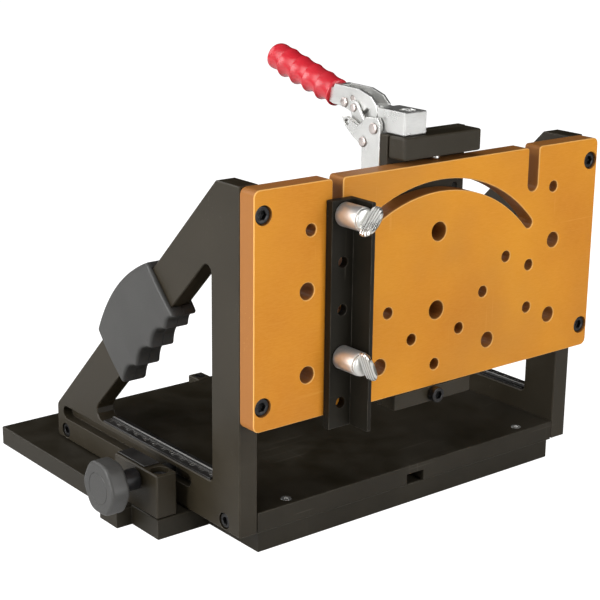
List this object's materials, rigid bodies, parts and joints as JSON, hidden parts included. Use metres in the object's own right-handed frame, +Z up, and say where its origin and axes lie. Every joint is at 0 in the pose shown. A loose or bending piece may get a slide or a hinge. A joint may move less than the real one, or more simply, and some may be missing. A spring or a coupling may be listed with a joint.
{
  "type": "dovetail jig",
  "caption": "Sliding dovetail jig: a base, a carriage with triangular side frames and a drilled face plate, a side fence, a toggle hold-down and a lock knob.",
  "frame": {"origin": "centre of the base plate's underside", "axes": "+Z up, -Y towards the face plate's working side, +X to the right as seen from that side"},
  "size_m": [0.3399, 0.2865, 0.2715],
  "materials": {
    "black_anodised": "satin black anodised",
    "amber_phenolic": "semi-gloss amber laminate",
    "machined_aluminium": "machined",
    "moulded_black": "matte moulded",
    "red_vinyl": "glossy dipped vinyl",
    "etched_scale": "etched grey",
    "zinc_plate": "bright zinc",
    "black_oxide": "black oxide"
  },
  "bodies": {
    "base": {"base_plate": "black_anodised", "guide_key": "machined_aluminium", "guide_key_screw_front": "black_oxide", "guide_key_screw_rear": "black_oxide", "rear_stop_block": "black_anodised", "rear_stop_screw": "black_oxide", "pin_block": "black_anodised", "pin_block_screw": "black_oxide", "pin_block_scale": "etched_scale"},
    "carriage": {"arm_pin": "zinc_plate", "carriage_plate": "black_anodised", "clamp_post": "black_anodised", "deck_screw_left": "zinc_plate", "deck_screw_right": "zinc_plate", "face_plate": "amber_phenolic", "face_screw_lower_left": "black_oxide", "face_screw_lower_right": "black_oxide", "face_screw_upper_left": "black_oxide", "face_screw_upper_right": "black_oxide", "fence_angle": "black_anodised", "left_frame_screw_front": "black_oxide", "left_frame_screw_rear": "black_oxide", "left_grip_inner": "moulded_black", "left_grip_outer": "moulded_black", "left_scale_strip": "etched_scale", "left_side_frame": "black_anodised", "link_pin_left": "zinc_plate", "link_pin_right": "zinc_plate", "lower_fence_nut": "zinc_plate", "lower_fence_spacer": "machined_aluminium", "post_foot": "black_anodised", "post_foot_screw": "black_oxide", "post_screw_lower": "black_oxide", "post_screw_upper": "black_oxide", "right_frame_screw_front": "black_oxide", "right_frame_screw_rear": "black_oxide", "right_grip_inner": "moulded_black", "right_grip_outer": "moulded_black", "right_scale_strip": "etched_scale", "right_side_frame": "black_anodised", "toggle_body": "zinc_plate", "toggle_screw_lower": "zinc_plate", "toggle_screw_upper": "zinc_plate", "upper_fence_nut": "zinc_plate", "upper_fence_spacer": "machined_aluminium"},
    "hold_down": {"toggle_arm": "zinc_plate", "hold_down_block": "black_anodised", "hold_down_bolt": "zinc_plate", "pressure_screw": "zinc_plate", "handle_pin": "zinc_plate"},
    "link": {"toggle_link_left": "zinc_plate", "toggle_link_right": "zinc_plate", "coupler_pin_left": "zinc_plate", "coupler_pin_right": "zinc_plate"},
    "handle": {"toggle_handle": "zinc_plate", "handle_grip": "red_vinyl"},
    "upper_screw": {"upper_thumb_screw": "zinc_plate"},
    "lower_screw": {"lower_thumb_screw": "zinc_plate"},
    "knob": {"clamp_knob": "moulded_black", "knob_stud": "black_oxide"}
  },
  "joints": [
    {"name": "carriage_slide", "type": "slide", "parent": "base", "child": "carriage", "axis": [0, 1, 0], "range_m": [-0.115, 0]},
    {"name": "hold_down_hinge", "type": "hinge", "parent": "carriage", "child": "hold_down", "pos_m": [-0.0189, -0.1083, 0.2351], "axis": [1, 0, 0], "range_deg": [-65, 0]},
    {"name": "link_hinge", "type": "hinge", "parent": "carriage", "child": "link", "pos_m": [-0.0189, -0.0993, 0.2261], "axis": [1, 0, 0], "range_deg": [-88.2, 0]},
    {"name": "handle_hinge", "type": "hinge", "parent": "hold_down", "child": "handle", "pos_m": [-0.0189, -0.0824, 0.2483], "axis": [1, 0, 0], "range_deg": [0, 150.1]},
    {"name": "upper_screw_turn", "type": "hinge", "parent": "carriage", "child": "upper_screw", "pos_m": [-0.0773, -0.1558, 0.1975], "axis": [0, 1, 0], "continuous": true},
    {"name": "lower_screw_turn", "type": "hinge", "parent": "carriage", "child": "lower_screw", "pos_m": [-0.0773, -0.1558, 0.1156], "axis": [0, 1, 0], "continuous": true},
    {"name": "knob_turn", "type": "hinge", "parent": "base", "child": "knob", "pos_m": [-0.1773, -0.049, 0.0322], "axis": [1, 0, 0], "continuous": true}
  ],
  "couplings": [
    {"joint": "link_hinge", "follows": "hold_down_hinge", "ratio": 1.3554},
    {"joint": "handle_hinge", "follows": "hold_down_hinge", "ratio": -2.3077}
  ]
}
